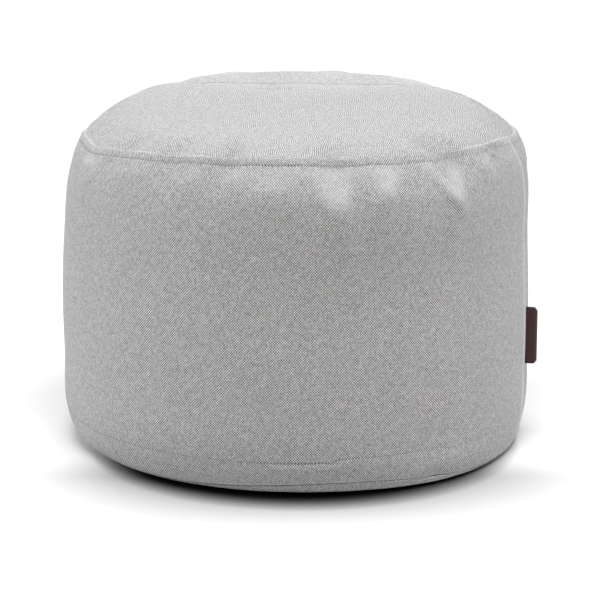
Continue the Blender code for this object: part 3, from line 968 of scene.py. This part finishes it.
def topUv(ring, degrees, middle):
    reaches = topReaches(degrees) if ring > 0 else [0.0]
    reach = reaches[min(ring, len(reaches) - 1)]
    place = inSpace(degrees, (reach, 0.0))
    deep = yarnLean["depth"] * math.tanh((place.y - yarnLean["middle"]) / yarnLean["depth"])
    astray = yarnLean["astray"] * eased((place.x - yarnLean["astrayFrom"]) / yarnLean["astrayOver"])
    astray *= noise.noise(place * yarnLean["astrayScale"])
    return place.x - yarnLean["slope"] * deep + astray, place.y


# the top's painted light and shade: painted shade where it is gathered, painted light towards the back, and
# the painted highlight on the sewn edge
def topLayers(ring, degrees):
    inwards = topInward(degrees)
    if ring == 0 or ring > len(inwards):
        return 0.0, 0.0
    inward = inwards[ring - 1]
    tone = -gathered(degrees, inward, "top") / paintedLightAndShade["topDarkFor"]
    back = -math.cos(math.radians(degrees)) * (topRadius(degrees) - inward)
    tone += paintedLightAndShade["topBackPale"] * eased((back - paintedLightAndShade["topBackFrom"]) / paintedLightAndShade["topBackOver"])
    lip = paintedLightAndShade["lipPale"] * lipClearAndPaintedPale(degrees) * eased(1.0 - inward / paintedLightAndShade["lipReach"])
    return tone + lip, 0.0


topCover = spunPanel("top_cover", topRings(), wovenMelange("wovenMelangeTop", topWeave), topUv, topLayers)
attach(topCover, "root")
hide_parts("top_panel")

print("base panel")
basePanel = {
    "rings": 10,
    "coreTop": 0.0090,
    "gap": 0.0004,
    "turnedIn": 0.002,
    "flatShares": (0.97, 0.9, 0.75, 0.5, 0.25),
}


def basePoint(degrees, share):
    start = distanceToHeight(degrees, baseSeamHeight(degrees)) + basePanel["gap"]
    end = sectionAt(degrees)[1][-1]
    point, normal = onSection(degrees, between(start, end, share))
    return Vector((point.x, max(point.y, 0.0)))


def baseRings():
    def skin(share):
        return lambda degrees: basePoint(degrees, share)

    def flat(share):
        return lambda degrees: (basePoint(degrees, 1.0).x * share, 0.0)

    def tuck(degrees):
        radius, height = basePoint(degrees, 0.0)
        return radius - basePanel["turnedIn"], height

    made = [basePanel["coreTop"], tuck]
    made += [skin(i / basePanel["rings"]) for i in range(basePanel["rings"] + 1)]
    made += [flat(share) for share in basePanel["flatShares"]]
    return made + [0.0]


baseSurfaces = baseRings()


# how far out each ring lies from the middle, measured over the cloth
@functools.lru_cache(maxsize=None)
def baseReaches(degrees):
    points = [Vector(surface(degrees)) for surface in reversed(baseSurfaces[1:-1])]
    return lengthsAlong([Vector((0.0, 0.0))] + points)


def baseUv(ring, degrees, middle):
    fromMiddle = len(baseSurfaces) - 1 - ring
    reach = baseReaches(degrees)[fromMiddle] if ring > 0 else 0.0
    return inSpace(degrees, (reach, 0.0)).xy


baseCover = spunPanel("base_cover", baseSurfaces, wovenMelange("wovenMelangeBase", sideWeave), baseUv)
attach(baseCover, "root")
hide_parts("base_panel")

print("label")
label = {
    "length": 0.061,
    "reach": 0.0120,
    "ribbon": 0.0005,
    "fold": 0.00065,
    "corner": 0.0034,
    "middle": 0.1175,
    "edgeBand": 0.0016,
    "root": 0.003,
    "ribPitch": 0.0005,
    "burgundy": "3a1418",
    "black": "0c0a0b",
    "bend": 0.0014,  # how near the fold the two halves part
    "ribHeight": 0.0001,
    "ribStrength": 0.6,
    "roughness": 0.6,
    "sheen": 0.1,
}


# Woven damask ribbon of polyester, burgundy with black selvedges: a fine rib and a faint
# gloss, nearly black in soft light.
def damaskRibbon():
    made, add, shader = newMaterial("damaskRibbon")
    uv = add("UVMap", {"uv_map": "clothUv"})
    up = add("SeparateXYZ", None, {0: uv}).outputs["Y"]
    ribs = add("Math MULTIPLY", {1: math.tau / label["ribPitch"]}, {0: up})
    rib = add("Math SINE", None, {0: ribs})
    fromMiddle = add("Math ABSOLUTE", None, {0: up})
    edge = label["length"] / 2 - label["edgeBand"]
    selvedge = add("Math GREATER_THAN", {1: edge}, {0: fromMiddle})
    dyes = {6: linear(label["burgundy"]), 7: linear(label["black"])}
    colour = add("Mix", {"data_type": "RGBA", **dyes}, {0: selvedge}).outputs[2]
    bump = add("Bump", {"Strength": label["ribStrength"], "Distance": label["ribHeight"]}, {"Height": rib})
    setNode(shader, {"Roughness": label["roughness"], "Sheen Weight": label["sheen"]},
            {"Base Color": colour, "Normal": bump})
    return made


# a ribbon folded back on itself, its free corners cut round, thickened to a thin sheet
def makeLabel():
    low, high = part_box("label")
    angle = math.radians(sewing["uprightLow"])
    outerEdge = high.x * math.sin(angle) - low.y * math.cos(angle)
    reach = label["reach"]
    whole = reach + label["root"]
    shape = bmesh.new()
    bmesh.ops.create_grid(shape, x_segments=12, y_segments=24, size=0.5)
    uvLayer = shape.loops.layers.uv.new("clothUv")
    for vertex in shape.verts:
        flat = vertex.co.x * 2.0 * whole
        up = vertex.co.y * label["length"]
        near = max(label["corner"] - abs(flat), 0.0) / label["corner"]
        limit = label["length"] / 2 - label["corner"] * (1.0 - math.sqrt(max(1.0 - near ** 2, 0.0)))
        up = max(min(up, limit), -limit)
        across = math.copysign(label["fold"] * eased(abs(flat) / label["bend"]), flat)
        vertex.co = (reach - abs(flat), across, up)
    for face in shape.faces:
        for loop in face.loops:
            loop[uvLayer].uv = (loop.vert.co.x, loop.vert.co.z)
    for vertex in shape.verts:
        out, across, up = vertex.co
        out += outerEdge - reach
        vertex.co = (out * math.sin(angle) + across * math.cos(angle),
                     -out * math.cos(angle) + across * math.sin(angle), up + label["middle"])
    bmesh.ops.recalc_face_normals(shape, faces=shape.faces)
    made = meshed("label_ribbon", shape, damaskRibbon())
    thick = made.modifiers.new("thickness", "SOLIDIFY")
    thick.thickness = label["ribbon"]
    thick.offset = 1.0
    return made


labelRibbon = makeLabel()
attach(labelRibbon, "root")
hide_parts("label")

print("stitching")


# Spun polyester thread in the cloth's grey, faintly glossy, with a fine mottle of fibres.
def spunThread():
    made, add, shader = newMaterial("spunThread")
    place = add("TexCoord").outputs["Object"]
    fibres = add("TexNoise", {"Scale": thread["fibres"], "Detail": 2.0}, {"Vector": place})
    greys = {6: linear(thread["dark"]), 7: linear(thread["light"])}
    colour = add("Mix", {"data_type": "RGBA", **greys}, {0: fibres}).outputs[2]
    setNode(shader, {"Roughness": thread["roughness"]}, {"Base Color": colour})
    return made


# a point in space on the side panel's outside, and the way out from it
def sidePlace(degrees, distance):
    point, normal = onSection(degrees, distance)
    lowest = sideDistances(degrees)[-1]
    flat = point + normal * sideRelief(degrees, distance, lowest - distance)
    return inSpace(degrees, flat), inSpace(degrees, normal)


# separate stitches sunk into a sewn row, from one angle round to another
def stitchRow(name, distanceAt, begins, ends, material):
    shape = bmesh.new()
    step = math.degrees(thread["pitch"] / sidePanel["uvRadius"])
    half = 0.5 * math.degrees(thread["length"] / sidePanel["uvRadius"])
    # a stitch lies midway between two needle holes, which are counted from the upright seam
    first = math.ceil((begins - sewing["uprightLow"]) / step)
    last = math.floor((ends - sewing["uprightLow"]) / step)
    for i in range(first, last):
        degrees = round(sewing["uprightLow"] + (i + 0.5) * step, 3)
        before, _ = sidePlace(degrees - half, distanceAt(degrees - half))
        after, _ = sidePlace(degrees + half, distanceAt(degrees + half))
        middle, out = sidePlace(degrees, distanceAt(degrees))
        along = (after - before).normalized()
        up = out.cross(along).normalized()
        out = along.cross(up)
        turn = Matrix((along, up, out)).transposed().to_4x4()
        radius = thread["thickness"] / 2
        size = Matrix.Diagonal((thread["length"] / 2, radius, radius, 1.0))
        place = Matrix.Translation(middle + out * (thread["proud"] * radius - thread["sunk"]))
        bmesh.ops.create_uvsphere(shape, u_segments=6, v_segments=5, radius=1.0, matrix=place @ turn @ size)
    made = meshed(name, shape, material)
    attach(made, "root")


def topRowAt(degrees):
    return sewing["topRowDown"]


def hemRowAt(degrees):
    return distanceToHeight(degrees, hemRowHeight(degrees))


threadGrey = spunThread()
stitchRow("top_stitching", topRowAt, 0.0, 360.0, threadGrey)
stitchRow("hem_stitching", hemRowAt, *sewing["hemRowRuns"], threadGrey)

print("studio")
studio = {
    "floorRadius": 1.3,
    "floor": "f6f6f6",
    "floorRoughness": 0.9,
    "floorSpecular": 0.1,
    "bounced": 0.68,  # how much of its white still lights the footstool from inside the painted shadow
    "background": 1.05,
    "ambient": 0.02,
    "distance": 2.6,  # from each softbox to the middle of the footstool
    "middle": (0.0, 0.0, 0.2),
}
# Azimuth from the front towards the right, height angle, size and watts.
softboxes = {
    "keySoftbox": (12.0, 68.0, (2.2, 1.0), 86.0),
    "leftSoftbox": (-95.0, 22.0, (1.6, 1.0), 38.0),
    "rightSoftbox": (102.0, 24.0, (1.6, 1.0), 27.0),
    "backSoftbox": (190.0, 26.0, (1.8, 1.0), 22.0),
    "lowSoftbox": (14.0, 5.0, (1.8, 0.4), 1.5),
}
# The shadow painted on the board where the footstool stands: a deep core that fades outwards, and a
# wide faint one that dies away. Middles, distances from them, and shares of the light.
contactShade = {"middle": (0.006, -0.055, 0.0), "darkTo": 0.184, "fades": 0.045, "power": 1.25}
faintShade = {"middle": (0.0, -0.030, 0.0), "edge": 0.225, "diesAway": 0.034, "deep": 0.47, "held": 0.74,
              "clearFrom": 0.245, "clearAt": 0.41, "sideY": -0.10, "frontY": -0.185, "besides": 0.15}


# Painted board, smooth and matt: an even white, with a deep soft shadow painted into its colour
# where the footstool stands on it, seen only by the camera.
def mattBoardPaintedShadow():
    made, add, shader = newMaterial("mattWhiteBoardPaintedShadow")
    place = add("TexCoord").outputs["Object"]
    fromMiddle = add("VectorMath DISTANCE", {1: contactShade["middle"]}, {0: place}).outputs["Value"]
    fadedAt = contactShade["darkTo"] + contactShade["fades"]
    core = add("MapRange", {"From Min": contactShade["darkTo"], "From Max": fadedAt}, {"Value": fromMiddle})
    deep = add("Math POWER", {1: contactShade["power"]}, {0: core})
    away = add("VectorMath DISTANCE", {1: faintShade["middle"]}, {0: place}).outputs["Value"]
    rate = -1.0 / faintShade["diesAway"]
    beyond = add("Math MULTIPLY_ADD", {1: rate, 2: -rate * faintShade["edge"]}, {0: away})
    across = add("SeparateXYZ", None, {0: place}).outputs["Y"]
    front = {"From Min": faintShade["sideY"], "From Max": faintShade["frontY"],
             "interpolation_type": "SMOOTHSTEP"}
    ahead = add("MapRange", {**front, "To Min": faintShade["besides"]}, {"Value": across})
    held = add("MapRange", {**front, "To Min": 1.0, "To Max": faintShade["held"]}, {"Value": across})
    left = add("Math MULTIPLY", None, {0: add("Math EXPONENT", None, {0: beyond}), 1: ahead})
    faint = add("Math MULTIPLY_ADD", {"use_clamp": True, 1: -faintShade["deep"]}, {0: left, 2: held})
    cleared = add("MapRange", {"From Min": faintShade["clearFrom"], "From Max": faintShade["clearAt"],
                               "To Max": 1.0 - faintShade["held"], "interpolation_type": "SMOOTHSTEP"},
                  {"Value": away})
    tail = add("Math ADD", {"use_clamp": True}, {0: faint, 1: cleared})
    shaded = add("Math MULTIPLY", None, {0: deep, 1: tail})
    seen = add("LightPath").outputs["Is Camera Ray"]
    unseen = add("Math MULTIPLY_ADD", {1: -studio["bounced"], 2: studio["bounced"]}, {0: seen})
    light = add("Math MAXIMUM", None, {0: shaded, 1: unseen})
    whites = {6: linear("000000"), 7: linear(studio["floor"])}
    colour = add("Mix", {"data_type": "RGBA", **whites}, {0: light}).outputs[2]
    setNode(shader, {"Roughness": studio["floorRoughness"], "Specular IOR Level": studio["floorSpecular"]},
            {"Base Color": colour})
    return made


def makeFloor():
    shape = bmesh.new()
    bmesh.ops.create_circle(shape, cap_ends=True, segments=96, radius=studio["floorRadius"])
    meshed("studioFloor", shape, mattBoardPaintedShadow(), smooth=False)


def softbox(name):
    azimuth, up, size, watts = softboxes[name]
    data = bpy.data.lights.new(name, "AREA")
    data.shape = "RECTANGLE"
    data.size, data.size_y = size
    data.energy = watts
    made = linked(name, data)
    level = studio["distance"] * math.cos(math.radians(up))
    away = inSpace(azimuth, (level, studio["distance"] * math.sin(math.radians(up))))
    made.location = Vector(studio["middle"]) + away
    made.rotation_euler = away.to_track_quat("Z", "Y").to_euler()
    made.visible_camera = False


# white behind the object, and a dimmer even light on it
def makeWorld():
    world = bpy.data.worlds.new("studioWorld")
    bpy.context.scene.world = world
    world.use_nodes = True
    tree = world.node_tree
    tree.nodes.clear()
    seen = addNode(tree, "LightPath").outputs["Is Camera Ray"]
    extra = studio["background"] - studio["ambient"]
    strength = addNode(tree, "Math MULTIPLY_ADD", {1: extra, 2: studio["ambient"]}, {0: seen})
    light = addNode(tree, "Background", {"Color": (1.0, 1.0, 1.0, 1.0)}, {"Strength": strength})
    addNode(tree, "OutputWorld", None, {"Surface": light})


makeFloor()
makeWorld()
for softboxName in softboxes:
    softbox(softboxName)
bpy.context.scene.view_settings.view_transform = "Standard"
